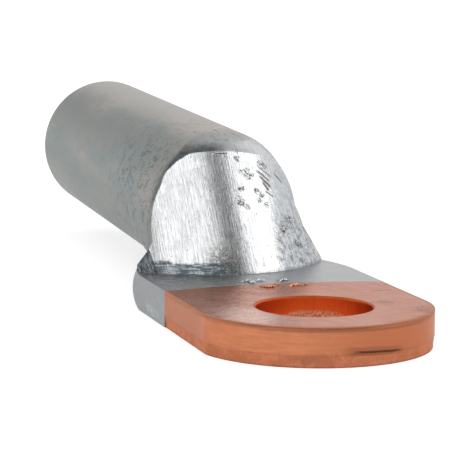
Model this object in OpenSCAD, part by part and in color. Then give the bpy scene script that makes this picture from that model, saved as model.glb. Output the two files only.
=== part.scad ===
// Bimetallic cable lug: a copper palm with a stud hole, friction welded to an aluminium barrel for a stranded cable.
// Millimetres, +Z up. The origin is the stud hole centre on the seating face, and +Y runs back to the cable mouth.

/* [Palm] */
// Width across the flat palm
palm_w = 25.9; // [25:0.1:29]
// Palm thickness
palm_t = 4.05; // [3.2:0.05:4.8]
// Distance from the stud hole centre to the rounded tip
toe = 12.8; // [12:0.1:18]
// How far the radius of the tip exceeds half the palm width
end_over = 0.15; // [0.1:0.05:0.6]
// Sideways offset of the punched tip
end_x = -0.2; // [-0.35:0.05:0.35]
// Stud hole diameter
hole_d = 12.5; // [8:0.5:14]

/* [Sheared edges] */
// Width of the soft rolled edge round the tip
roll_w = 1.3; // [0.9:0.05:1.8]
// Depth of the soft rolled edge round the tip
roll_d = 0.3; // [0.1:0.02:0.5]
// Height of the broken strip below the burnished side
break_h = 1.25; // [0.4:0.05:2]
// Step from the burnished side to the broken strip
break_step = 0.05; // [0.02:0.01:0.15]
// Lean of the broken strip, measured at the underside
break_taper = 0.1; // [0.04:0.01:0.3]
// Rounding at the upper rim of the stud hole
rim_roll = 0.25; // [0.1:0.05:0.5]

/* [Weld] */
// Distance from the stud hole centre to the crown of the weld
weld_y = 14.5; // [13.5:0.1:17]
// Radius of the bowed weld face
weld_r = 46; // [36:1:90]

/* [Barrel] */
// Outside diameter of the barrel
barrel_d = 18.5; // [17.5:0.1:19.5]
// Bore diameter for the cable
bore_d = 11.5; // [8:0.1:14]
// Depth of the bore behind the mouth
bore_len = 50; // [30:1:52]
// Point angle of the drill that made the bore
drill_angle = 118; // [90:1:140]
// Distance from the stud hole centre to the mouth
mouth_y = 91.6; // [86:0.2:110]
// Upward lean of the barrel towards the mouth
barrel_lean = 2.07; // [0:0.01:4]
// Height of the barrel axis above the palm at the shoulder
axis_rise = 6.14; // [5.7:0.02:6.6]
// Chamfer outside the mouth
mouth_chamfer = 0.4; // [0.1:0.1:1]
// Lead-in chamfer inside the mouth
bore_chamfer = 0.6; // [0.1:0.1:1.2]

/* [Shoulder] */
// Distance from the stud hole centre to the foot of the shoulder face
face_y = 21.1; // [19.8:0.1:23]
// Sideways offset of the pressed shoulder face
face_x = -1.5; // [-2:0.1:2]
// Radius of the pressed shoulder face
face_r = 16; // [15.5:0.1:18]
// Lean of the shoulder face from upright
face_lean = 36; // [33:0.5:38]
// Height of the shoulder face above the palm, up to the edge of the crown
face_h = 13.35; // [12.8:0.05:13.6]
// Radius of the crown that rolls over from the face to the top of the barrel
crown_r = 10.8; // [10.5:0.1:11.1]
// Turn at the edge between the face and the crown
crown_edge = 16; // [14:1:18]
// Angle at which the crown runs out over the barrel
crown_out = 5; // [4:0.5:7]
// Radius of the bell that rounds the right side of the shoulder
bell_r = 11.5; // [11.4:0.1:11.8]
// Height of the centre of the bell
bell_z = 8.74; // [8.6:0.02:8.9]
// Radius of the flare at the foot of the bell
flare_r = 15.8; // [15.4:0.1:16.2]
// Hollow of the flare
flare_round = 22; // [18:1:30]

/* [Flanks] */
// Distance from the stud hole centre to where the palm starts to narrow
flank_y = 21; // [20:0.5:22]
// Plan radius of the narrowing flanks
flank_r = 25; // [23:0.5:28]
// How far the flank circles stand outside the trimmed palm sides
flank_over = 0.12; // [0.06:0.02:0.3]
// Swelling of the untrimmed side at half thickness
bulge = 0.45; // [0.3:0.05:0.8]
// Radius of the hollow between the barrel side and the palm
hollow_r = 13; // [12:0.1:14]
// Height of the centre of the hollow above the barrel axis
hollow_up = 2.8; // [2.4:0.1:3.2]
// How far the hollow cuts into the barrel's side
hollow_in = 0.05; // [0.05:0.05:0.3]
// How far the squeezed root of the barrel swells to the left
cheek_out = 1.15; // [0.6:0.05:1.6]
// How far the squeezed root of the barrel sinks
cheek_down = 1.9; // [1.8:0.05:2.8]
// Taper of the hollow flanks towards the barrel
hollow_taper = 21; // [18:0.5:24]
// Distance from the stud hole centre to where the underside starts to rise
heel_y = 27.5; // [26:0.5:30]
// Rise of the underside behind the palm
heel_rise = 5.3; // [4.5:0.1:6.5]

/* [Hidden] */
$fn = 120;
fine = 240;
coarse = 48;
cut = 1;
half_w = palm_w / 2;
end_r = half_w + end_over;
end_y = end_r - toe;
strip_len = weld_y - end_y + cut;
weld_cy = weld_y - weld_r;
hole_r = hole_d / 2;
barrel_r = barrel_d / 2;
bore_r = bore_d / 2;
// The axis height is measured at this distance behind the stud hole
axis_y = 31.25;
axis_z = palm_t + axis_rise;
mouth_h = (mouth_y - axis_y) / cos(barrel_lean);
// Size of the blocks that form the die, and how deep they reach below the seating face
die_size = 60;
die_deep = 24;
// Where the barrel starts inside the palm, along its own axis
root_h = -13.2;
bore_h = mouth_h - bore_len;
point_h = bore_h - bore_r / tan(drill_angle / 2);
barrel_colour = [0.72, 0.73, 0.74];
copper_colour = [0.78, 0.47, 0.33];

// Centre of an arc of radius r that joins point a to point b and bulges to the left of the way from b to a
function arc_centre(a, b, r) = let(
    h = norm(b - a) / 2,
    n = [(a - b)[1], (b - a)[0]] / (2 * h)
  ) (a + b) / 2 - sqrt(r * r - h * h) * n;

// Rounded corner of the sheared edge: an arc a little flatter than one that meets the top tangentially
roll_arc_r = 1.15 * (roll_w * roll_w + roll_d * roll_d) / (2 * roll_d);
roll_start = [end_r - roll_w, palm_t];
roll_end = [end_r, palm_t - roll_d];

module broken_strip(edge) {
  polygon([
    [edge + cut, break_h],
    [edge - break_step, break_h],
    [edge - break_step - break_taper, -cut / 100],
    [edge + cut, -cut / 100]
  ]);
}

// Half section of the palm from its middle to the sheared edge
module edge_section() {
  difference() {
    intersection() {
      square([end_r, palm_t]);
      union() {
        square([end_r - roll_w, palm_t]);
        square([end_r, palm_t - roll_d]);
        translate(arc_centre(roll_end, roll_start, roll_arc_r)) circle(r = roll_arc_r, $fn = fine);
      }
    }
    broken_strip(end_r);
  }
}

// Section of the sheared sides across the whole palm
module side_section() {
  difference() {
    translate([-half_w, 0]) square([palm_w, palm_t]);
    broken_strip(half_w);
    mirror([1, 0]) broken_strip(half_w);
  }
}

module along_y(from, length) {
  translate([0, from + length, 0])
    rotate([90, 0, 0])
      linear_extrude(height = length)
        children();
}

// The bowed face along which the two metals are welded
module weld_form(height) {
  translate([0, weld_cy, -cut]) cylinder(r = weld_r, h = height, $fn = fine);
}

module stud_hole() {
  rotate_extrude($fn = fine) {
    translate([0, -cut]) square([hole_r, palm_t + 2 * cut]);
    difference() {
      translate([0, palm_t - rim_roll]) square([hole_r + rim_roll, rim_roll + cut / 100]);
      translate([hole_r + rim_roll, palm_t - rim_roll]) circle(r = rim_roll, $fn = coarse);
    }
  }
}

module copper_palm() {
  color(copper_colour)
    difference() {
      intersection() {
        weld_form(palm_t + 2 * cut);
        along_y(-toe - cut, toe + weld_y + 2 * cut) side_section();
        union() {
          translate([end_x, end_y, 0]) rotate_extrude($fn = fine) edge_section();
          translate([end_x, 0, 0])
            along_y(end_y, strip_len) {
              edge_section();
              mirror([1, 0]) edge_section();
            }
        }
      }
      stud_hole();
    }
}

// Everything that leans with the barrel is built along +Z from the shoulder
module on_barrel_axis() {
  translate([0, axis_y, axis_z]) rotate([barrel_lean - 90, 0, 0]) children();
}

module barrel() {
  on_barrel_axis()
    rotate_extrude($fn = $fn)
      polygon([
        [0, root_h],
        [barrel_r, root_h],
        [barrel_r, mouth_h - mouth_chamfer],
        [barrel_r - mouth_chamfer, mouth_h],
        [0, mouth_h]
      ]);
}

// Blind bore with a lead-in at the mouth and the cone that the drill leaves at its end
module cable_bore() {
  on_barrel_axis()
    rotate_extrude($fn = $fn)
      polygon([
        [0, point_h],
        [bore_r, bore_h],
        [bore_r, mouth_h - bore_chamfer],
        [bore_r + bore_chamfer, mouth_h],
        [bore_r + bore_chamfer, mouth_h + cut],
        [0, mouth_h + cut]
      ]);
}

// Plan circle that trims one flank, on the right for side 1 and on the left for side -1
module flank_circle(side) {
  translate([side * (half_w + flank_over - flank_r), flank_y, 0]) children();
}

// A thick disc with a swollen rim, whose edge is the untrimmed side of the palm
module swollen_disc() {
  rim_r = (palm_t * palm_t / 4 + bulge * bulge) / (2 * bulge);
  rotate_extrude($fn = fine) {
    square([flank_r, palm_t]);
    intersection() {
      square([flank_r + bulge + cut, palm_t]);
      translate([flank_r + bulge - rim_r, palm_t / 2]) circle(r = rim_r);
    }
  }
}

// Aluminium end of the palm, from the weld to the point under the barrel
module palm_root() {
  root_len = flank_r + cut;
  translate([-half_w, 0, 0]) cube([palm_w, flank_y, palm_t]);
  intersection() {
    translate([-half_w, flank_y - cut, -cut]) cube([palm_w, root_len, palm_t + 2 * cut]);
    flank_circle(1) swollen_disc();
    flank_circle(-1) swollen_disc();
  }
}

// The hollow side of the skirt, a long cylinder that closes in on the barrel towards the mouth
module hollow(side) {
  hollow_len = 80;
  hollow_y = 29;
  hollow_z = axis_z + hollow_up;
  hollow_x = barrel_r - hollow_in + hollow_r;
  translate([side * hollow_x, hollow_y, hollow_z])
    rotate([90, 0, side * hollow_taper])
      cylinder(r = hollow_r, h = hollow_len, center = true, $fn = fine);
}

// Metal pressed out at both sides of the barrel root
module skirt() {
  skirt_y = 16;
  skirt_len = 28;
  skirt_z = 0.5;
  skirt_up = 1.8;
  skirt_r = flank_r - 0.05;
  skirt_h = 2 * axis_z;
  difference() {
    intersection() {
      translate([-half_w, skirt_y, skirt_z]) cube([palm_w, skirt_len, axis_z + skirt_up - skirt_z]);
      flank_circle(1) translate([0, 0, -cut]) cylinder(r = skirt_r, h = skirt_h, $fn = fine);
      flank_circle(-1) translate([0, 0, -cut]) cylinder(r = skirt_r, h = skirt_h, $fn = fine);
    }
    hollow(1);
    hollow(-1);
  }
}

// The root of the barrel as the press squeezed it, lower and more to the left, closing in on the barrel behind
module cheek() {
  cheek_y = 28;
  cheek_front = -10;
  cheek_end_r = barrel_r - 0.25;
  join_len = 18;
  on_barrel_axis()
    translate([-cheek_out, cheek_down, cheek_y - axis_y])
      rotate([atan(cheek_down / join_len), atan(cheek_out / join_len), 0])
        translate([0, 0, cheek_front]) cylinder(r1 = barrel_r, r2 = cheek_end_r, h = join_len - cheek_front);
}

// Section of the crown, which rolls over from the face and runs out in a cone above the barrel
module crown_section() {
  turn = 90 - face_lean - crown_out;
  face_up = face_h / cos(face_lean);
  crown_x = face_r - crown_r * cos(crown_edge);
  crown_up = face_up - crown_r * sin(crown_edge);
  out_x = crown_x + crown_r * cos(turn);
  out_up = crown_up + crown_r * sin(turn);
  lap = 0.2;
  polygon([
    [0, -die_deep - cut],
    [2 * face_r, -die_deep - cut],
    [2 * face_r, face_up - lap],
    [crown_x + cut, face_up - lap],
    [out_x, out_up],
    [0, out_up + out_x / tan(turn)]
  ]);
  intersection() {
    translate([crown_x, crown_up]) circle(r = crown_r, $fn = fine);
    translate([crown_x, crown_up]) square(crown_r + cut);
  }
}

// The leaning, rounded face of the press die, with its crown
module die_face() {
  translate([face_x, face_y, palm_t])
    rotate([-face_lean, 0, 0])
      translate([0, face_r, 0])
        intersection() {
          translate([0, 0, -die_deep]) cylinder(r = face_r, h = die_size, $fn = fine);
          rotate_extrude($fn = fine) crown_section();
        }
}

// Section of the bell that rounds the right shoulder: a ball over a hollow flare
module bell_section() {
  flare_up = 1.8;
  flare_foot = [flare_r, palm_t];
  flare_top = [sqrt(bell_r * bell_r - flare_up * flare_up), bell_z + flare_up];
  flare_h = flare_top[1] + die_deep;
  difference() {
    translate([0, -die_deep]) square([2 * flare_r, flare_h]);
    translate(arc_centre(flare_foot, flare_top, flare_round)) circle(r = flare_round, $fn = fine);
    translate([flare_r, -die_deep - cut]) square([2 * flare_r, flare_h + 2 * cut]);
  }
  intersection() {
    translate([0, bell_z]) circle(r = bell_r, $fn = fine);
    translate([0, bell_z - cut]) square(2 * bell_r);
  }
}

// The bell of the press die, open behind to let the barrel through and open to the left
module die_bell() {
  bell_x = -1.9;
  bell_y = 35.4;
  translate([bell_x, bell_y, 0]) {
    rotate_extrude($fn = fine) bell_section();
    translate([-die_size / 2, 0, -die_deep]) cube(die_size);
    translate([-die_size, -die_size / 2, -die_deep]) cube(die_size);
  }
}

// The shape that the press leaves standing
module die_form() {
  intersection() {
    die_face();
    die_bell();
  }
}

// What the press takes away in front of the shoulder
module press_cut() {
  press_w = 44;
  press_front = 8;
  press_len = 36;
  press_deep = 10;
  press_h = 50;
  difference() {
    translate([-press_w / 2, press_front, -press_deep]) cube([press_w, press_len, press_h]);
    die_form();
  }
}

// The slope that lifts the underside from the seating face up to the barrel
module heel_cut() {
  heel_w = 60;
  heel_len = 40;
  heel_deep = 10;
  translate([-heel_w / 2, heel_y, 0])
    rotate([heel_rise, 0, 0])
      translate([0, 0, -heel_deep])
        cube([heel_w, heel_len, heel_deep]);
}

module aluminium_body() {
  color(barrel_colour)
    difference() {
      union() {
        difference() {
          palm_root();
          heel_cut();
        }
        difference() {
          union() {
            barrel();
            difference() {
              union() {
                skirt();
                cheek();
              }
              heel_cut();
            }
          }
          press_cut();
        }
      }
      weld_form(palm_t + 2 * cut);
      cable_bore();
    }
}

aluminium_body();
copper_palm();
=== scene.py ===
import math
import random

import bmesh
import bpy
from mathutils import Matrix, Vector


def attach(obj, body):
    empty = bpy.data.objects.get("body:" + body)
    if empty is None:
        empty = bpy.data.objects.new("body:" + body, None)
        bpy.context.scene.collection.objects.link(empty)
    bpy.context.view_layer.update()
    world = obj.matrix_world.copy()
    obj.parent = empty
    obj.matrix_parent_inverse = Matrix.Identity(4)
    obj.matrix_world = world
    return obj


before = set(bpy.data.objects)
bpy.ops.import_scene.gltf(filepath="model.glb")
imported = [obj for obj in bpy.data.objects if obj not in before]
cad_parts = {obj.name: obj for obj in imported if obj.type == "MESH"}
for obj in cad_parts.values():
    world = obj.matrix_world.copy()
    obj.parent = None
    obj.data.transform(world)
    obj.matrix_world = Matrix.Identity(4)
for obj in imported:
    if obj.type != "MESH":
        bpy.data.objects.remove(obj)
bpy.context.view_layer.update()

# Sizes taken over from the part's source, in millimetres and degrees

PALM_T = 4.05
HALF_W = 12.95
HOLE_R = 6.25
WELD_Y = 14.5
WELD_R = 46.0
BREAK_H = 1.25
BARREL_R = 9.25
AXIS_Y = 31.25
AXIS_Z = 10.19
BARREL_LEAN = 2.07
MOUTH_Y = 91.6
FACE_X = -1.5
FACE_Y = 21.1
FACE_R = 16.0
FACE_LEAN = 36.0
FACE_H = 13.35
END_R = 13.1
END_X = -0.2
END_Y = 0.3

# Camera, as the photograph was taken: angles in degrees, lengths in metres

AZIMUTH = -17.6528
ELEVATION = 8.3183
ROLL = 0.5674
DISTANCE = 0.216158
AIM_RIGHT = -0.0083706
AIM_UP = 0.011536
LENS = 155.562
SENSOR = 36.0

MM = 0.001

# The rounded left shoulder of the bright face, up the face in millimetres

ARCH_TOP = 16.72
ARCH_DROP = 0.0236
ARCH_BEND = 2.54

# Node building


class Graph:
    """Adds nodes to a tree. Numbers, vectors and sockets can be mixed as inputs."""

    def __init__(self, tree):
        self.tree = tree
        self.tree.nodes.clear()
        self.column = 0

    def add(self, kind, **settings):
        node = self.tree.nodes.new(kind)
        self.column += 1
        node.location = (self.column % 12 * 180, -(self.column // 12) * 260)
        for key, value in settings.items():
            setattr(node, key, value)
        return node

    def put(self, socket, value):
        if isinstance(value, bpy.types.NodeSocket):
            self.tree.links.new(value, socket)
        else:
            socket.default_value = value

    def math(self, operation, *values, clamp=False):
        node = self.add("ShaderNodeMath", operation=operation, use_clamp=clamp)
        for socket, value in zip(node.inputs, values):
            self.put(socket, value)
        return node.outputs[0]

    def plus(self, a, b):
        return self.math("ADD", a, b)

    def minus(self, a, b):
        return self.math("SUBTRACT", a, b)

    def times(self, a, b):
        return self.math("MULTIPLY", a, b)

    def most(self, *values):
        top = values[0]
        for value in values[1:]:
            top = self.math("MAXIMUM", top, value)
        return top

    def least(self, *values):
        low = values[0]
        for value in values[1:]:
            low = self.math("MINIMUM", low, value)
        return low

    def vector(self, operation, *values):
        node = self.add("ShaderNodeVectorMath", operation=operation)
        for socket, value in zip(node.inputs, values):
            self.put(socket, value)
        return node.outputs["Value" if operation in ("LENGTH", "DOT_PRODUCT") else "Vector"]

    def scaled(self, vector, amount):
        node = self.add("ShaderNodeVectorMath", operation="SCALE")
        self.put(node.inputs["Vector"], vector)
        self.put(node.inputs["Scale"], amount)
        return node.outputs["Vector"]

    def split(self, vector):
        node = self.add("ShaderNodeSeparateXYZ")
        self.put(node.inputs[0], vector)
        return node.outputs[0], node.outputs[1], node.outputs[2]

    def join(self, x, y, z):
        node = self.add("ShaderNodeCombineXYZ")
        for socket, value in zip(node.inputs, (x, y, z)):
            self.put(socket, value)
        return node.outputs[0]

    def fade(self, value, low, high, start=0.0, end=1.0):
        """Runs smoothly from start, where value is low, to end, where it is high."""
        node = self.add("ShaderNodeMapRange", interpolation_type="SMOOTHSTEP")
        for key, number in (("Value", value), ("From Min", low), ("From Max", high), ("To Min", start), ("To Max", end)):
            self.put(node.inputs[key], number)
        return node.outputs["Result"]

    def band(self, value, low, high, soft):
        """One between low and high, and zero beyond soft outside them."""
        return self.times(self.fade(value, low - soft, low + soft), self.fade(value, high - soft, high + soft, 1.0, 0.0))

    def mix(self, factor, a, b, blend="MIX"):
        node = self.add("ShaderNodeMix", data_type="RGBA", blend_type=blend, clamp_factor=True)
        self.put(node.inputs["Factor"], factor)
        self.put(node.inputs[6], a)
        self.put(node.inputs[7], b)
        return node.outputs[2]

    def blend(self, factor, a, b):
        node = self.add("ShaderNodeMix", data_type="FLOAT")
        self.put(node.inputs["Factor"], factor)
        self.put(node.inputs[2], a)
        self.put(node.inputs[3], b)
        return node.outputs[0]

    def noise(self, coords, scale, detail=3.0, rough=0.55, distortion=0.0, kind="FBM"):
        node = self.add("ShaderNodeTexNoise", noise_type=kind)
        self.put(node.inputs["Vector"], coords)
        for key, number in (("Scale", scale), ("Detail", detail), ("Roughness", rough), ("Distortion", distortion)):
            self.put(node.inputs[key], number)
        return node.outputs["Fac"]

    def cells(self, coords, scale, feature="F1"):
        node = self.add("ShaderNodeTexVoronoi", feature=feature)
        self.put(node.inputs["Vector"], coords)
        self.put(node.inputs["Scale"], scale)
        return node.outputs["Distance"]

    def bump(self, height, distance, strength=1.0, normal=None):
        node = self.add("ShaderNodeBump")
        self.put(node.inputs["Height"], height)
        self.put(node.inputs["Distance"], distance)
        self.put(node.inputs["Strength"], strength)
        if normal is not None:
            self.put(node.inputs["Normal"], normal)
        return node.outputs["Normal"]

    def surface(self, shader):
        self.put(self.add("ShaderNodeOutputMaterial").inputs["Surface"], shader)


def shade(red, green, blue):
    """A colour given as it looks on screen, from 0 to 255."""
    def linear(c):
        c = c / 255.0
        return c / 12.92 if c <= 0.04045 else ((c + 0.055) / 1.055) ** 2.4
    return (linear(red), linear(green), linear(blue), 1.0)


# Aluminium

BARREL_WARM = shade(172, 167, 163)
BARREL_COOL = shade(146, 154, 153)
BARREL_DARK = shade(128, 133, 132)
BARREL_TOP_HIGHLIGHT = shade(200, 195, 191)
CROWN_SKIN = shade(188, 189, 189)
BARREL_ROUGH = 0.5
PIT = shade(72, 74, 76)
ARCH_DARK_REFLECTION = shade(66, 84, 80)
FACE_BRIGHT = shade(248, 249, 250)
FACE_DIM = shade(196, 198, 199)
FACE_DULL = shade(170, 174, 178)
FACE_WORN = shade(222, 226, 230)
FACE_ROUGH = 0.14
DUG_AND_SHADE = shade(96, 90, 84)
FOOT_SHADOW = shade(62, 78, 86)
DUG_SPOTS = (
    ((1.87, 9.63), 0.85), ((2.5, 9.0), 0.5), ((3.45, 13.54), 0.95), ((2.5, 13.9), 0.45), ((2.45, 15.6), 0.5),
    ((2.55, 16.6), 0.4), ((2.32, 11.42), 0.6), ((4.19, 11.34), 0.6), ((4.9, 10.9), 0.5), ((4.44, 10.08), 0.5),
    ((5.35, 9.58), 0.55), ((3.48, 7.83), 0.4), ((6.29, 5.01), 0.6), ((7.17, 6.59), 0.9), ((8.6, 8.2), 0.9),
    ((9.4, 5.0), 1.0), ((11.6, 7.9), 0.9), ((5.93, 2.27), 0.2), ((9.4, 2.85), 0.6), ((5.9, 15.1), 0.8),
)
FACE_SCRATCHES = (
    ((4.7, 14.3), (6.75, 12.8), 0.2), ((4.95, 13.6), (6.8, 11.9), 0.24), ((5.4, 12.8), (6.2, 11.5), 0.22),
    ((7.4, 14.4), (8.85, 13.1), 0.12), ((5.5, 11.45), (6.8, 10.8), 0.14), ((5.0, 14.9), (7.2, 13.4), 0.12),
)
FLANK_DARK = shade(60, 66, 70)
FLANK_LIGHT = shade(140, 148, 154)
ALU_TOP = shade(200, 201, 202)
ALU_TOP_DARK = shade(172, 172, 174)
SPARKLE = shade(243, 245, 248)
ALU_SIDE = shade(168, 170, 172)
ALU_SIDE_DARK = shade(150, 153, 155)
ALU_SMEAR = shade(200, 208, 212)

# Copper

TOP_PINK = shade(192, 143, 126)
TOP_BROWN = shade(178, 116, 93)
PAINTED_SHEEN = shade(226, 198, 192)
GREY_SPOT = shade(110, 106, 104)
SIDE_BRIGHT = shade(206, 134, 98)
SIDE_DEEP = shade(172, 104, 72)
SIDE_PAINTED_SHADE = shade(164, 106, 80)
TORN = shade(198, 127, 93)
TORN_DARK = shade(180, 112, 80)
GOUGE = shade(84, 46, 34)
SCORED_AND_SHADE = shade(72, 48, 40)
HOLE_BRIGHT = shade(222, 96, 44)
HOLE_DEEP = shade(196, 84, 34)
HOLE_LEFT = shade(232, 104, 42)
HOLE_TORN = shade(214, 150, 116)
HOLE_TORN_DARK = shade(170, 104, 72)


def new_material(name):
    material = bpy.data.materials.new(name)
    material.use_nodes = True
    return material, Graph(material.node_tree)


def metal(g, colour, roughness, normal, edge_tint, anisotropic=0.0):
    """A metal surface. The edge tint is its colour at a glancing angle."""
    node = g.add("ShaderNodeBsdfPrincipled")
    g.put(node.inputs["Base Color"], colour)
    g.put(node.inputs["Roughness"], roughness)
    g.put(node.inputs["Normal"], normal)
    node.inputs["Metallic"].default_value = 1.0
    node.inputs["Specular Tint"].default_value = edge_tint
    node.inputs["Anisotropic"].default_value = anisotropic
    g.surface(node.outputs["BSDF"])


def place_in_mm(g):
    return g.scaled(g.add("ShaderNodeTexCoord").outputs["Object"], 1.0 / MM)


def near_line(g, across, along, start, end, width, wander=0.0):
    """One on a thin straight mark from start to end, and zero away from it. Wander shifts it sideways."""
    length = math.hypot(end[0] - start[0], end[1] - start[1])
    dx = (end[0] - start[0]) / length
    dy = (end[1] - start[1]) / length
    u = g.minus(across, start[0])
    v = g.minus(along, start[1])
    on = g.plus(g.times(u, dx), g.times(v, dy))
    off = g.math("ABSOLUTE", g.plus(g.minus(g.times(v, dx), g.times(u, dy)), wander))
    taper = g.band(on, 0.12 * length, 0.88 * length, 0.12 * length)
    return g.times(taper, g.fade(off, 0.35 * width, width, 1.0, 0.0))


def near_spot(g, across, along, centre, size, wander):
    """One on a blotch round the centre, and zero away from it. Wander makes its edge uneven."""
    u = g.minus(across, centre[0])
    v = g.minus(along, centre[1])
    off = g.plus(g.math("SQRT", g.plus(g.times(u, u), g.times(v, v))), g.times(wander, size))
    return g.fade(off, 0.3 * size, size, 1.0, 0.0)


def centred(g, value):
    return g.minus(value, 0.5)


def worms(g, coords, scale, width, seed):
    """Short curly marks: thin lines along the middle level of a noise."""
    level = g.noise(g.vector("ADD", coords, (seed, 0.0, seed)), scale, 2.0, 0.5, 0.6)
    return g.fade(g.math("ABSOLUTE", centred(g, level)), 0.3 * width, width, 1.0, 0.0)


def aluminium_material():
    material, g = new_material("pressed_aluminium")
    place = place_in_mm(g)
    x, y, z = g.split(place)

    # Round and along the barrel
    lean_b = math.radians(BARREL_LEAN)
    bx, by, bz = g.split(g.vector("SUBTRACT", place, (0.0, AXIS_Y, AXIS_Z)))
    along = g.plus(g.times(by, math.cos(lean_b)), g.times(bz, math.sin(lean_b)))
    rise = g.minus(g.times(bz, math.cos(lean_b)), g.times(by, math.sin(lean_b)))
    round_b = g.times(g.math("ARCTAN2", bx, rise), BARREL_R)
    from_barrel = g.math("SQRT", g.plus(g.times(bx, bx), g.times(rise, rise)))
    off_barrel = g.fade(g.math("ABSOLUTE", g.minus(from_barrel, BARREL_R)), 0.02, 0.07)

    # Across and up the leaning face that the press made
    lean = math.radians(FACE_LEAN)
    fx, fy, fz = g.split(g.vector("SUBTRACT", place, (FACE_X, FACE_Y, PALM_T)))
    back = g.minus(g.times(fy, math.cos(lean)), g.times(fz, math.sin(lean)))
    up = g.plus(g.times(fy, math.sin(lean)), g.times(fz, math.cos(lean)))
    depth = g.minus(FACE_R, back)
    across = g.times(g.math("ARCTAN2", fx, depth), FACE_R)
    from_axis = g.math("SQRT", g.plus(g.times(fx, fx), g.times(depth, depth)))
    flat = g.join(across, up, 0.0)

    # Where each kind of surface is
    mottle = g.noise(place, 0.9, 4.0, 0.6)
    grain = g.noise(place, 4.0, 4.0, 0.65)
    rough_edge = centred(g, g.noise(place, 1.6, 3.0, 0.6))
    above_palm = g.fade(z, PALM_T + 0.01, PALM_T + 0.04)
    face_top = FACE_H / math.cos(lean)
    in_front = g.fade(depth, 4.0, 6.0)
    face = g.fade(g.math("ABSOLUTE", g.minus(from_axis, FACE_R)), 0.02, 0.07, 1.0, 0.0)
    face = g.times(g.times(face, in_front), above_palm)
    bell_end = g.fade(g.plus(y, g.times(rough_edge, 5.0)), g.fade(z, 8.0, 10.0, 26.5, 36.5), g.fade(z, 8.0, 10.0, 31.5, 37.0), 1.0, 0.0)
    bell = g.times(g.times(off_barrel, above_palm), g.times(g.fade(x, 3.0, 3.4), bell_end))
    crown = g.times(g.fade(up, face_top - 0.05, face_top + 0.1), g.fade(y, 38.5, 39.5, 1.0, 0.0))
    crown = g.times(crown, g.times(off_barrel, above_palm))
    shine_up = g.plus(g.plus(up, g.times(g.fade(across, 0.0, 7.0), -2.4)), g.times(rough_edge, 3.0))
    crown_shine = g.fade(g.plus(shine_up, g.times(centred(g, grain), 1.5)), face_top - 0.3, face_top + 1.7, 1.0, 0.0)
    crown_shine = g.times(crown_shine, g.fade(g.plus(across, g.times(rough_edge, 6.0)), -1.0, 3.0))
    from_left = g.most(g.minus(-0.5, across), 0.0)
    arch_up = g.minus(ARCH_TOP, g.times(g.math("POWER", from_left, ARCH_BEND), ARCH_DROP))
    outside = g.minus(g.plus(up, g.times(rough_edge, 0.45)), arch_up)
    under_arch = g.blend(g.fade(across, -0.5, 0.5), g.fade(outside, -0.05, 0.1, 1.0, 0.0), 1.0)
    face = g.times(g.times(g.most(face, bell, crown), g.blend(crown, 1.0, crown_shine)), under_arch)
    foot = g.plus(x, g.times(g.minus(z, PALM_T), 0.22))
    flank = g.times(g.fade(foot, -10.45, -10.25, 1.0, 0.0), above_palm)
    flank = g.times(flank, g.times(off_barrel, g.fade(z, 7.6, 8.0, 1.0, 0.0)))
    palm_top = g.times(g.fade(z, PALM_T - 0.03, PALM_T - 0.01), g.fade(z, PALM_T, PALM_T + 0.02, 1.0, 0.0))
    palm_side = g.fade(z, PALM_T - 0.03, PALM_T - 0.01, 1.0, 0.0)
    palm_side = g.times(palm_side, g.fade(y, 33.0, 35.0, 1.0, 0.0))

    # Barrel: a dull skin with pits that gather towards the shoulder, with painted light: a cooler, darker reflected
    # band along its upper left, a lighter top, a darker lower side and a dark reflection beside the arch
    tube = g.join(bx, rise, g.times(along, 0.4))
    cloud = g.noise(tube, 0.13, 4.0, 0.55)
    # Painted reflection: a cooler, darker band round the upper left of the barrel
    cool_reflection_band = g.band(g.plus(round_b, g.times(centred(g, cloud), 8.0)), -10.0, -5.0, 2.5)
    barrel = g.mix(g.fade(cloud, 0.35, 0.65), BARREL_COOL, BARREL_WARM)
    barrel = g.mix(g.times(cool_reflection_band, 0.55), barrel, BARREL_DARK)
    barrel = g.mix(g.fade(mottle, 0.4, 0.75, 0.0, 0.3), barrel, BARREL_DARK)
    # Painted highlight: lighter along the top of the barrel
    barrel = g.mix(g.fade(g.plus(rise, g.times(bx, 0.3)), 6.4, 9.25, 0.0, 0.75), barrel, BARREL_TOP_HIGHLIGHT)
    # Painted shade: darker below the barrel's middle
    barrel = g.mix(g.fade(rise, -1.5, 2.5, 0.6, 0.0), barrel, BARREL_DARK)
    barrel = g.mix(g.times(crown, g.fade(g.minus(BARREL_R, from_barrel), -0.1, 1.0)), barrel, CROWN_SKIN)
    gather = g.plus(0.06, g.times(g.fade(along, 4.0, 34.0, 1.0, 0.0), g.fade(bx, -8.2, -3.9, 1.0, 0.35)))
    pits = g.times(worms(g, place, 1.1, 0.09, 3.0), g.fade(g.noise(place, 0.75, 3.0, 0.6), 0.51, 0.56))
    pits = g.times(pits, g.fade(grain, 0.42, 0.5))
    pits = g.most(pits, g.times(g.fade(grain, 0.66, 0.72), 0.8))
    pits = g.times(pits, g.math("MINIMUM", gather, 1.0))
    scuffs = g.noise(g.join(g.times(bx, 2.2), g.times(rise, 2.2), g.times(along, 0.35)), 1.0, 3.0, 0.7)
    scuffs = g.times(g.fade(scuffs, 0.6, 0.7), g.fade(along, 0.0, 22.0, 0.7, 0.1))
    barrel = g.mix(g.times(pits, 0.68), barrel, PIT)
    barrel = g.mix(g.times(scuffs, 0.5), barrel, PIT)
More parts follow.
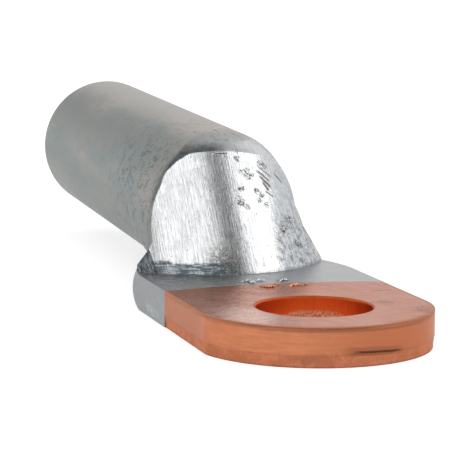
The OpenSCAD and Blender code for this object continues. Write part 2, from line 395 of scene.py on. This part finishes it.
    # Painted reflection: a dark green-grey band on the barrel just past the face's arch, strongest at its upper left
    past_arch = g.times(g.fade(g.plus(outside, g.times(rough_edge, 1.5)), 0.2, 2.0, 1.0, 0.0), in_front)
    reflection_fade = g.times(g.fade(z, 10.5, 13.0, 0.2, 1.0), g.fade(x, -2.0, 1.5, 1.0, 0.2))
    barrel = g.mix(g.times(g.times(past_arch, reflection_fade), 0.74), barrel, ARCH_DARK_REFLECTION)
    crest = g.times(g.fade(up, face_top + 0.3, face_top + 1.6, 1.0, 0.0), g.fade(x, 2.0, 5.0, 1.0, 0.0))
    barrel = g.mix(g.times(g.times(crown, crest), g.fade(mottle, 0.35, 0.65, 0.1, 0.5)), barrel, PIT)

    # Pressed face: bright, drawn with fine lines, worn dull and dug into on its right, with a painted shadow along its
    # foot
    lines = g.noise(g.join(g.times(across, 6.5), g.times(up, 0.22), 0.0), 1.0, 3.0, 0.75)
    fine = g.noise(g.join(g.times(across, 13.0), g.times(up, 0.9), 3.0), 1.0, 2.0, 0.6)
    slant = g.plus(across, g.times(up, 0.28))
    streaks = g.noise(g.join(g.times(slant, 3.2), g.times(up, 0.45), 7.0), 1.0, 4.0, 0.7, 0.4)
    worn = g.fade(g.plus(g.plus(across, g.times(up, -0.12)), g.times(rough_edge, 3.0)), 4.6, 6.6)
    brushed = g.plus(g.times(lines, 0.6), g.times(fine, 0.4))
    face_colour = g.mix(g.fade(brushed, 0.4, 0.58), FACE_DIM, FACE_BRIGHT)
    face_colour = g.mix(g.times(g.fade(mottle, 0.5, 0.72), 0.35), face_colour, FACE_DULL)
    dull = g.mix(g.fade(streaks, 0.4, 0.62), FACE_DULL, FACE_WORN)
    face_colour = g.mix(worn, face_colour, dull)
    # Painted shade: the face dimmer high on its right; it is also a little dimmer on its left, above the foot
    painted_shade_high_right = g.times(g.times(g.fade(up, 11.0, 14.5), g.fade(across, 1.0, 3.5)), 0.6)
    left = g.times(g.times(g.fade(across, -8.0, -3.0, 1.0, 0.0), g.fade(up, 4.5, 8.0)), 0.25)
    face_colour = g.mix(g.most(painted_shade_high_right, left), face_colour, FACE_DIM)
    dug = 0.0
    for place_dug, size in DUG_SPOTS:
        dug = g.most(dug, near_spot(g, across, up, place_dug, size, g.times(rough_edge, 2.0)))
    curls = g.most(worms(g, flat, 1.5, 0.06, 11.0), worms(g, flat, 2.3, 0.05, 4.0))
    dug = g.times(dug, g.times(curls, g.fade(grain, 0.4, 0.5)))
    specks = g.times(g.fade(g.noise(flat, 2.6, 2.0, 0.6), 0.69, 0.72), 0.6)
    long_marks = 0.0
    for start, end, width in FACE_SCRATCHES:
        long_marks = g.most(long_marks, near_line(g, across, up, start, end, width, g.times(rough_edge, 0.3)))
    long_marks = g.times(long_marks, g.fade(grain, 0.35, 0.5, 0.35, 1.0))
    deep = g.times(g.times(g.fade(streaks, 0.56, 0.64), g.fade(grain, 0.42, 0.55)), g.times(worn, g.fade(up, 1.0, 3.0)))
    mottled = g.times(g.band(up, 2.0, 8.5, 1.2), g.fade(g.minus(across, g.times(up, 0.15)), 4.4, 5.6))
    mottled = g.times(mottled, g.times(g.fade(g.noise(flat, 1.5, 3.0, 0.65), 0.5, 0.56), g.fade(grain, 0.42, 0.52)))
    nick = near_line(g, across, up, (-0.7, 16.2), (1.3, 16.25), 0.13, g.times(rough_edge, 0.15))
    dark = g.most(dug, g.times(deep, 0.55), g.times(long_marks, 0.9), specks, nick, g.times(mottled, 0.5))
    face_colour = g.mix(dark, face_colour, DUG_AND_SHADE)
    # Painted shadow along the foot, darkest and tallest on the left
    shadow_h = g.plus(g.minus(z, PALM_T), g.times(rough_edge, 1.1))
    shadow = g.times(g.fade(shadow_h, 1.05, 1.45, 1.0, 0.0), g.fade(x, -4.5, 0.0, 1.0, 0.0))
    shadow = g.most(shadow, g.fade(shadow_h, 0.1, 0.35, 0.45, 0.0))
    # A rough dark smudge at the foot: part wear, part painted shade that carries the foot's shadow further right
    smudge_and_shade_x = g.plus(across, g.times(rough_edge, 4.0))
    smudge_and_shade = g.times(g.band(smudge_and_shade_x, -3.4, 0.4, 1.0), g.fade(g.plus(up, g.times(rough_edge, 3.0)), 2.0, 5.0, 1.0, 0.0))
    smudge_and_shade = g.times(smudge_and_shade, g.fade(grain, 0.4, 0.55, 0.3, 1.0))
    face_colour = g.mix(g.times(smudge_and_shade, 0.8), face_colour, DUG_AND_SHADE)
    shadow_streaks = g.noise(g.join(g.times(x, 0.6), 2.0, g.times(z, 5.0)), 1.0, 3.0, 0.65)
    shadow = g.times(shadow, g.fade(shadow_streaks, 0.42, 0.62, 0.95, 0.5))
    face_colour = g.mix(shadow, face_colour, FOOT_SHADOW)

    # Flank beside the face: dark, with fine upright streaks
    fan = g.noise(g.join(g.times(foot, 7.0), g.times(y, 1.2), g.times(z, 0.5)), 1.0, 3.0, 0.7)
    flank_colour = g.mix(g.fade(fan, 0.4, 0.65), FLANK_DARK, FLANK_LIGHT)

    # Palm: rolled top with fine cross lines, smooth sheared side
    cross = g.noise(g.join(g.times(x, 0.25), g.times(y, 7.0), 0.0), 1.0, 3.0, 0.7)
    top_colour = g.mix(g.fade(cross, 0.35, 0.65), ALU_TOP_DARK, ALU_TOP)
    # Painted glints: bright flecks on the palm top, mostly on its left
    sparkle = g.times(g.fade(g.noise(place, 3.0, 2.0, 0.5), 0.61, 0.66), g.band(y, 19.0, 24.0, 1.5))
    sparkle = g.times(sparkle, g.fade(x, -7.0, -3.0, 1.0, 0.15))
    top_colour = g.mix(sparkle, top_colour, SPARKLE)
    pressed = g.most(near_spot(g, x, y, (-1.6, 16.1), 1.7, g.times(rough_edge, 1.5)),
                     near_spot(g, x, y, (1.9, 15.9), 1.2, g.times(rough_edge, 1.5)))
    top_colour = g.mix(g.times(pressed, g.fade(grain, 0.4, 0.6, 0.2, 0.75)), top_colour, PIT)
    side_colour = g.mix(mottle, ALU_SIDE_DARK, ALU_SIDE)
    smear = near_line(g, y, z, (14.6, 0.85), (21.4, 1.15), 0.7, g.times(rough_edge, 1.6))
    smear = g.times(g.times(smear, g.fade(x, -11.0, -12.0)), g.fade(g.plus(grain, rough_edge), 0.3, 0.8, 0.0, 0.7))
    side_colour = g.mix(smear, side_colour, ALU_SMEAR)

    colour = g.mix(face, barrel, face_colour)
    colour = g.mix(flank, colour, flank_colour)
    colour = g.mix(palm_side, colour, side_colour)
    colour = g.mix(palm_top, colour, top_colour)

    # Relief
    waves = g.noise(place, 0.5, 2.0, 0.5)
    relief = g.plus(g.times(grain, 0.018), g.times(waves, 0.05))
    face_relief = g.plus(g.plus(g.times(lines, 0.012), g.times(fine, 0.004)), g.times(grain, 0.006))
    face_relief = g.minus(face_relief, g.plus(g.times(dark, 0.05), g.times(g.times(worn, streaks), 0.05)))
    relief = g.plus(g.blend(face, relief, 0.0), g.times(face, face_relief))
    relief = g.minus(relief, g.times(g.times(pits, 0.05), g.blend(face, 1.0, 0.0)))
    relief = g.plus(relief, g.times(g.times(flank, fan), 0.05))
    relief = g.plus(relief, g.times(g.times(palm_top, cross), 0.012))
    soften = g.times(g.times(g.fade(up, face_top + 0.6, face_top + 1.6), g.fade(y, 43.0, 46.0, 1.0, 0.0)), above_palm)
    rounded = g.add("ShaderNodeBevel", samples=6)
    g.put(rounded.inputs["Radius"], g.times(g.plus(0.12, g.times(soften, 1.5)), MM))
    normal = g.bump(relief, MM, normal=rounded.outputs[0])
    roughness = g.blend(face, BARREL_ROUGH, g.blend(worn, FACE_ROUGH, 0.34))
    roughness = g.plus(roughness, g.times(g.times(face, g.most(smudge_and_shade, dark)), 0.15))
    roughness = g.blend(palm_top, roughness, 0.3)
    metal(g, colour, roughness, normal, (0.8, 0.8, 0.8, 1.0))
    return material


def copper_material():
    material, g = new_material("rolled_copper")
    place = place_in_mm(g)
    x, y, z = g.split(place)
    mottle = g.noise(place, 0.7, 4.0, 0.6)
    grain = g.noise(place, 4.0, 4.0, 0.65)
    rough_edge = centred(g, g.noise(place, 1.6, 3.0, 0.6))
    from_hole = g.math("SQRT", g.plus(g.times(x, x), g.times(y, y)))
    hole = g.fade(from_hole, HOLE_R + 0.04, HOLE_R + 0.12, 1.0, 0.0)
    ahead = g.minus(END_Y, y)
    aside = g.minus(x, END_X)
    round_end = g.times(g.math("ARCTAN2", aside, ahead), END_R)
    side_run = g.blend(g.fade(y, END_Y - 0.5, END_Y + 0.5), round_end, y)
    top = g.fade(z, PALM_T - 0.03, PALM_T - 0.01)
    rim_ring = g.minus(END_R, g.math("SQRT", g.plus(g.times(aside, aside), g.times(ahead, ahead))))
    rim_side = g.minus(HALF_W, g.math("ABSOLUTE", x))
    from_rim = g.blend(g.fade(y, END_Y - 3.0, END_Y + 1.0), rim_ring, rim_side)
    roll_w = g.fade(y, -5.0, 1.0, 1.25, g.fade(x, 0.0, 4.0, 0.3, 0.8))
    roll_top = g.most(g.minus(1.0, g.math("DIVIDE", from_rim, roll_w)), 0.0)
    roll_side = g.most(g.minus(1.0, g.times(g.minus(PALM_T, z), 2.2)), 0.0)

    # Top: rolled, with a few scratches and grey spots, and a painted pale sheen beside the hole
    cloud = g.noise(place, 0.25, 3.0, 0.5)
    top_colour = g.mix(g.plus(g.times(mottle, 0.4), g.fade(cloud, 0.35, 0.65, 0.0, 0.6)), TOP_BROWN, TOP_PINK)
    top_colour = g.mix(g.most(g.fade(x, 3.0, 8.0, 0.0, 0.45), g.times(g.fade(y, 6.5, 9.5), 0.85)), top_colour, TOP_BROWN)
    # Painted reflection: a pale sheen along the left of the hole
    painted_sheen_patch = near_spot(g, x, g.times(y, 0.6), (-8.8, -2.2), 4.6, g.times(rough_edge, 0.6))
    top_colour = g.mix(g.times(painted_sheen_patch, 0.85), top_colour, PAINTED_SHEEN)
    spots = near_spot(g, x, y, (-9.3, 6.7), 1.1, g.times(rough_edge, 2.0))
    spots = g.most(spots, near_spot(g, x, y, (-12.0, -3.6), 0.8, g.times(rough_edge, 2.0)))
    spots = g.most(spots, near_spot(g, x, y, (-11.0, -6.6), 0.8, g.times(rough_edge, 2.0)))
    top_colour = g.mix(g.times(spots, 0.75), top_colour, GREY_SPOT)
    scratch = near_line(g, x, y, (9.0, 7.4), (12.0, 7.0), 0.14)
    scratch = g.most(scratch, near_line(g, x, y, (4.7, 12.3), (6.6, 11.9), 0.12))
    scuff = near_spot(g, x, y, (10.7, -4.9), 2.4, g.times(rough_edge, 2.2))
    scuff = g.most(scuff, near_spot(g, x, y, (8.1, 0.4), 1.5, g.times(rough_edge, 2.2)))
    scuff = g.times(scuff, g.fade(grain, 0.45, 0.58))
    top_colour = g.mix(g.most(g.times(scratch, 0.75), g.times(scuff, 0.62)), top_colour, SCORED_AND_SHADE)
    pressed = g.most(near_spot(g, x, y, (-0.6, 13.1), 1.3, g.times(rough_edge, 1.5)),
                     near_spot(g, x, y, (2.9, 12.8), 1.2, g.times(rough_edge, 1.5)))
    top_colour = g.mix(g.times(pressed, g.fade(grain, 0.4, 0.6, 0.2, 0.6)), top_colour, SCORED_AND_SHADE)
    top_colour = g.mix(g.fade(g.plus(roll_top, g.times(rough_edge, 0.3)), 0.2, 0.6), top_colour, SIDE_DEEP)

    # Side: burnished above, torn below, with the dark line and the gouge between
    tear_z = g.plus(BREAK_H, g.times(centred(g, g.noise(g.join(g.times(side_run, 0.35), 0.0, 2.0), 1.0, 3.0, 0.6)), 0.5))
    torn = g.fade(g.minus(z, tear_z), -0.2, 0.16, 1.0, 0.0)
    uprights = g.noise(g.join(g.times(side_run, 4.0), g.times(z, 0.6), 5.0), 1.0, 3.0, 0.6)
    level = g.noise(g.join(g.times(side_run, 0.3), g.times(z, 3.0), 1.0), 1.0, 3.0, 0.6)
    side_colour = g.mix(g.plus(g.times(g.fade(level, 0.3, 0.7), 0.35), g.times(mottle, 0.65)), SIDE_DEEP, SIDE_BRIGHT)
    side_colour = g.mix(g.fade(uprights, 0.5, 0.75, 0.0, 0.12), side_colour, SIDE_DEEP)
    # Painted shade: the straight sides duller, most of all on the left
    side_colour = g.mix(g.times(g.fade(y, -5.0, 1.5), g.fade(x, -8.0, 8.0, 0.72, 0.4)), side_colour, SIDE_PAINTED_SHADE)
    side_colour = g.mix(g.times(g.fade(round_end, -8.0, 3.0, 0.0, 0.9), g.fade(y, -4.0, 0.0, 1.0, 0.0)), side_colour, SIDE_DEEP)
    torn_colour = g.mix(g.fade(g.plus(mottle, g.times(centred(g, grain), 0.5)), 0.35, 0.65), TORN_DARK, TORN)
    side_colour = g.mix(torn, side_colour, torn_colour)
    line = g.fade(g.math("ABSOLUTE", g.minus(z, tear_z)), 0.03, 0.12, 1.0, 0.0)
    line = g.times(line, g.fade(g.noise(g.join(g.times(side_run, 0.25), 3.0, 0.0), 1.0, 2.0, 0.5), 0.4, 0.6, 0.03, 0.2))
    low = g.fade(g.plus(z, g.times(rough_edge, 0.3)), 0.0, 0.2, 0.5, 0.0)
    frayed = g.times(near_spot(g, g.times(round_end, 0.3), z, (-1.25, 1.0), 1.0, g.times(rough_edge, 2.0)), 0.5)
    frayed = g.times(g.times(frayed, g.fade(z, 1.2, 1.6, 1.0, 0.3)), g.fade(mottle, 0.35, 0.65, 0.1, 0.7))
    front = g.fade(y, -9.0, -10.0)
    gouge = near_line(g, round_end, z, (-0.7, 1.6), (6.3, 1.33), 0.14, g.times(rough_edge, 0.12))
    dent = near_line(g, round_end, z, (-2.0, 1.75), (6.6, 1.4), 0.55, g.times(rough_edge, 0.2))
    gouge = g.times(gouge, front)
    dent = g.times(dent, front)
    side_colour = g.mix(g.most(line, low, frayed, g.times(dent, 0.3)), side_colour, SCORED_AND_SHADE)
    side_colour = g.mix(g.times(gouge, g.fade(grain, 0.3, 0.6, 0.7, 1.0)), side_colour, GOUGE)
    # Painted shade: a faint dark line under the rolled rim at the front
    shade_under_rim = g.times(g.band(g.plus(z, g.times(rough_edge, 0.2)), 3.64, 3.8, 0.12), g.times(front, 0.3))
    side_colour = g.mix(g.fade(roll_side, 0.0, 1.0, 0.0, g.fade(y, -5.0, 1.0, 0.6, 0.2)), side_colour, TOP_BROWN)
    side_colour = g.mix(shade_under_rim, side_colour, SCORED_AND_SHADE)

    # Hole: burnished and deep in colour above, torn and paler below
    turn = g.math("ARCTAN2", x, y)
    lens = g.fade(g.math("ABSOLUTE", g.minus(turn, 0.35)), 0.2, 0.9, 2.42, 1.7)
    hole_torn = g.fade(g.plus(g.minus(z, lens), g.times(rough_edge, 0.3)), -0.15, 0.15, 1.0, 0.0)
    hole_lines = g.noise(g.join(g.times(turn, 22.0), g.times(z, 0.4), 0.0), 1.0, 3.0, 0.6)
    hole_colour = g.mix(g.plus(g.times(g.fade(hole_lines, 0.35, 0.65), 0.35), g.fade(z, 2.2, 3.9, 0.5, 0.0)), HOLE_DEEP, HOLE_BRIGHT)
    chips = g.fade(g.noise(g.join(g.times(turn, 26.0), g.times(z, 3.0), 4.0), 1.0, 3.0, 0.6), 0.4, 0.6)
    hole_colour = g.mix(g.fade(x, -5.5, -2.0, 1.0, 0.0), hole_colour, HOLE_LEFT)
    hole_colour = g.mix(hole_torn, hole_colour, g.mix(chips, HOLE_TORN_DARK, HOLE_TORN))

    colour = g.mix(top, side_colour, top_colour)
    colour = g.mix(hole, colour, hole_colour)
    waves = g.noise(place, 0.4, 2.0, 0.5)
    relief = g.plus(g.times(grain, g.blend(top, 0.012, 0.0004)), g.times(waves, g.blend(top, 0.04, 0.12)))
    relief = g.plus(relief, g.times(g.times(torn, grain), 0.06))
    relief = g.minus(relief, g.times(g.most(g.times(gouge, 1.6), scratch, g.times(scuff, 0.3)), 0.06))
    relief = g.minus(relief, g.times(g.times(dent, g.blend(top, 1.0, 0.0)), 0.1))
    side_drop = g.fade(y, -5.0, 1.0, 0.16, 0.05)
    rolled = g.blend(top, g.times(g.times(roll_side, roll_side), side_drop), g.times(g.times(roll_top, roll_top), 0.3))
    relief = g.minus(relief, g.times(rolled, g.blend(hole, 1.0, 0.0)))
    corner = g.times(g.band(y, -3.5, 1.0, 0.8), g.fade(z, 2.4, 3.6, 1.0, 0.0))
    rounded = g.add("ShaderNodeBevel", samples=6)
    g.put(rounded.inputs["Radius"], g.times(g.plus(0.06, g.times(corner, 1.4)), MM))
    normal = g.bump(relief, MM, normal=rounded.outputs[0])
    roughness = g.blend(top, g.blend(torn, 0.36, 0.55), 0.27)
    roughness = g.plus(roughness, g.times(centred(g, mottle), 0.12))
    metal(g, colour, roughness, normal, (0.93, 0.78, 0.73, 1.0))
    return material


def dress(node, material):
    slots = node.data.materials
    slots.clear()
    slots.append(material)


# Burrs: small curled shavings where a press has marked the joint

BURRS = (
    ("burr_a", "aluminium", (-2.3, 16.7), 1.3, 20.0, 0.5, 0.3),
    ("burr_b", "aluminium", (-1.75, 15.7), 0.9, -50.0, 0.5, 0.34),
    ("burr_c", "aluminium", (-0.5, 16.6), 1.3, 8.0, 0.4, 0.22),
    ("burr_d", "aluminium", (1.5, 15.9), 1.0, 65.0, 0.42, 0.32),
    ("burr_e", "aluminium", (2.35, 16.3), 0.8, -30.0, 0.4, 0.24),
    ("burr_f", "copper", (-0.85, 13.0), 2.1, -8.0, 0.42, 0.26),
    ("burr_g", "copper", (0.6, 13.6), 1.0, 40.0, 0.36, 0.24),
    ("burr_h", "copper", (2.4, 12.5), 2.0, 8.0, 0.42, 0.26),
    ("burr_i", "copper", (3.7, 13.2), 0.8, -55.0, 0.34, 0.2),
)
BURR_STEPS = 22
BURR_SIDES = 10
BURR_SUNK = 0.04


def add_burr(name, centre, length, turn, width, height, material, dice):
    """A bent sliver with a ragged edge. It thins out at both ends and is sunk a little into the palm."""
    bend = dice.uniform(-0.35, 0.35)
    jag = [dice.uniform(0.7, 1.25) for _ in range(BURR_STEPS + 1)]
    lean = dice.uniform(-0.5, 0.5)
    angle = math.radians(turn)
    shape = bmesh.new()
    rings = []
    for step in range(BURR_STEPS + 1):
        t = step / BURR_STEPS
        full = math.sin(math.pi * t) ** 0.6 * jag[step]
        u = (t - 0.5) * length
        bow = bend * length * (1.0 - (2.0 * t - 1.0) ** 2)
        ring = []
        for side in range(BURR_SIDES):
            a = 2.0 * math.pi * side / BURR_SIDES
            rise = max(math.sin(a), 0.0) * height * full + min(math.sin(a), 0.0) * BURR_SUNK
            v = bow + math.cos(a) * width * 0.5 * max(full, 0.05) + lean * rise
            x = centre[0] + u * math.cos(angle) - v * math.sin(angle)
            y = centre[1] + u * math.sin(angle) + v * math.cos(angle)
            ring.append(shape.verts.new((x * MM, y * MM, (PALM_T + rise) * MM)))
        rings.append(ring)
    for first, second in zip(rings, rings[1:]):
        for side in range(BURR_SIDES):
            after = (side + 1) % BURR_SIDES
            shape.faces.new((first[side], second[side], second[after], first[after]))
    shape.faces.new(rings[0])
    shape.faces.new(reversed(rings[-1]))
    bmesh.ops.recalc_face_normals(shape, faces=shape.faces)
    mesh = bpy.data.meshes.new(name)
    shape.to_mesh(mesh)
    shape.free()
    for face in mesh.polygons:
        face.use_smooth = True
    piece = bpy.data.objects.new(name, mesh)
    bpy.context.scene.collection.objects.link(piece)
    mesh.materials.append(material)
    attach(piece, "root")


def burr_material(name, dull, bright):
    material, g = new_material(name)
    place = place_in_mm(g)
    grain = g.noise(place, 5.0, 3.0, 0.6)
    normal = g.bump(g.times(grain, 0.03), MM)
    metal(g, g.mix(g.fade(grain, 0.35, 0.6), dull, bright), g.fade(grain, 0.3, 0.7, 0.16, 0.32), normal, (0.9, 0.88, 0.86, 1.0))
    return material


def add_burrs():
    dice = random.Random(7)
    materials = {
        "aluminium": burr_material("torn_aluminium", shade(150, 160, 166), shade(246, 250, 252)),
        "copper": burr_material("torn_copper", shade(150, 76, 46), shade(250, 190, 158)),
    }
    for name, slot, centre, length, turn, width, height in BURRS:
        add_burr(name, centre, length, turn, width, height, materials[slot], dice)


# Camera and studio


def camera_axes(azimuth, elevation, roll):
    a, e, r = (math.radians(angle) for angle in (azimuth, elevation, roll))
    back = Vector((math.sin(a) * math.cos(e), -math.cos(a) * math.cos(e), math.sin(e)))
    right = Vector((math.cos(a), math.sin(a), 0.0))
    up = back.cross(right)
    return right * math.cos(r) + up * math.sin(r), up * math.cos(r) - right * math.sin(r), back


def add_camera():
    right, up, back = camera_axes(AZIMUTH, ELEVATION, ROLL)
    place = right * AIM_RIGHT + up * AIM_UP + back * DISTANCE
    data = bpy.data.cameras.new("camera")
    data.lens = LENS
    data.sensor_width = SENSOR
    data.clip_start = 0.01
    camera = bpy.data.objects.new("camera", data)
    turn = Matrix((right, up, back)).transposed()
    camera.matrix_world = Matrix.Translation(place) @ turn.to_4x4()
    bpy.context.scene.collection.objects.link(camera)
    bpy.context.scene.camera = camera


def add_softbox(name, direction, along, distance, length, width, radiance):
    """A lamp that shines at the shoulder from that direction, longest along the other. Its radiance is what a mirror would show."""
    aim = Vector((0.0, 25.0 * MM, 8.0 * MM))
    away = Vector(direction).normalized()
    across = away.cross(Vector(along)).normalized()
    data = bpy.data.lights.new(name, "AREA")
    data.shape = "RECTANGLE"
    data.size = length
    data.size_y = width
    data.energy = radiance * math.pi * length * width
    lamp = bpy.data.objects.new(name, data)
    turn = Matrix((across.cross(away), across, away)).transposed()
    lamp.matrix_world = Matrix.Translation(aim + away * distance) @ turn.to_4x4()
    bpy.context.scene.collection.objects.link(lamp)


def add_world():
    world = bpy.data.worlds.new("studio")
    world.use_nodes = True
    g = Graph(world.node_tree)
    _, behind, up = g.split(g.add("ShaderNodeTexCoord").outputs["Generated"])
    ceiling = g.minus(up, g.times(g.fade(behind, 0.0, 0.6), 0.3))
    overhead = g.mix(g.fade(behind, -0.4, -0.2), (0.24, 0.24, 0.245, 1.0), (0.5, 0.5, 0.5, 1.0))
    room = g.mix(g.fade(ceiling, 0.4, 0.76), (1.0, 1.0, 1.0, 1.0), overhead)
    path = g.add("ShaderNodeLightPath")
    seen = g.mix(path.outputs["Is Camera Ray"], room, (1.0, 1.0, 1.0, 1.0))
    background = g.add("ShaderNodeBackground")
    g.put(background.inputs["Color"], seen)
    g.put(g.add("ShaderNodeOutputWorld").inputs["Surface"], background.outputs[0])
    bpy.context.scene.world = world


def add_floor():
    mesh = bpy.data.meshes.new("floor")
    half = 1.5
    mesh.from_pydata([(-half, -half, 0), (half, -half, 0), (half, half, 0), (-half, half, 0)], [], [(0, 1, 2, 3)])
    floor = bpy.data.objects.new("floor", mesh)
    floor.location = (0.0, 0.04, -0.02 * MM)
    bpy.context.scene.collection.objects.link(floor)
    material, g = new_material("white_floor")
    path = g.add("ShaderNodeLightPath")
    paper = g.noise(place_in_mm(g), 0.02, 2.0, 0.5)
    cloth = g.add("ShaderNodeBsdfDiffuse")
    g.put(cloth.inputs["Color"], g.mix(paper, (0.86, 0.86, 0.86, 1.0), (0.88, 0.88, 0.88, 1.0)))
    glow = g.add("ShaderNodeEmission")
    glow.inputs["Color"].default_value = (1.0, 1.0, 1.0, 1.0)
    lit = g.most(path.outputs["Is Camera Ray"], path.outputs["Is Glossy Ray"], path.outputs["Is Transmission Ray"])
    g.put(glow.inputs["Strength"], g.times(lit, 0.55))
    both = g.add("ShaderNodeAddShader")
    g.put(both.inputs[0], cloth.outputs[0])
    g.put(both.inputs[1], glow.outputs[0])
    g.surface(both.outputs[0])
    mesh.materials.append(material)


dress(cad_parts["aluminium_body"], aluminium_material())
dress(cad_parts["copper_palm"], copper_material())
add_burrs()
add_floor()
add_camera()
add_world()
add_softbox("key_left", (-0.31, -0.45, 0.84), (0.68, -0.22, 0.16), 0.5, 0.44, 0.2, 0.92)
add_softbox("key_right", (0.61, -0.18, 0.775), (0.43, 0.38, -0.28), 0.5, 0.27, 0.32, 1.08)
bpy.context.scene.view_settings.view_transform = "Standard"
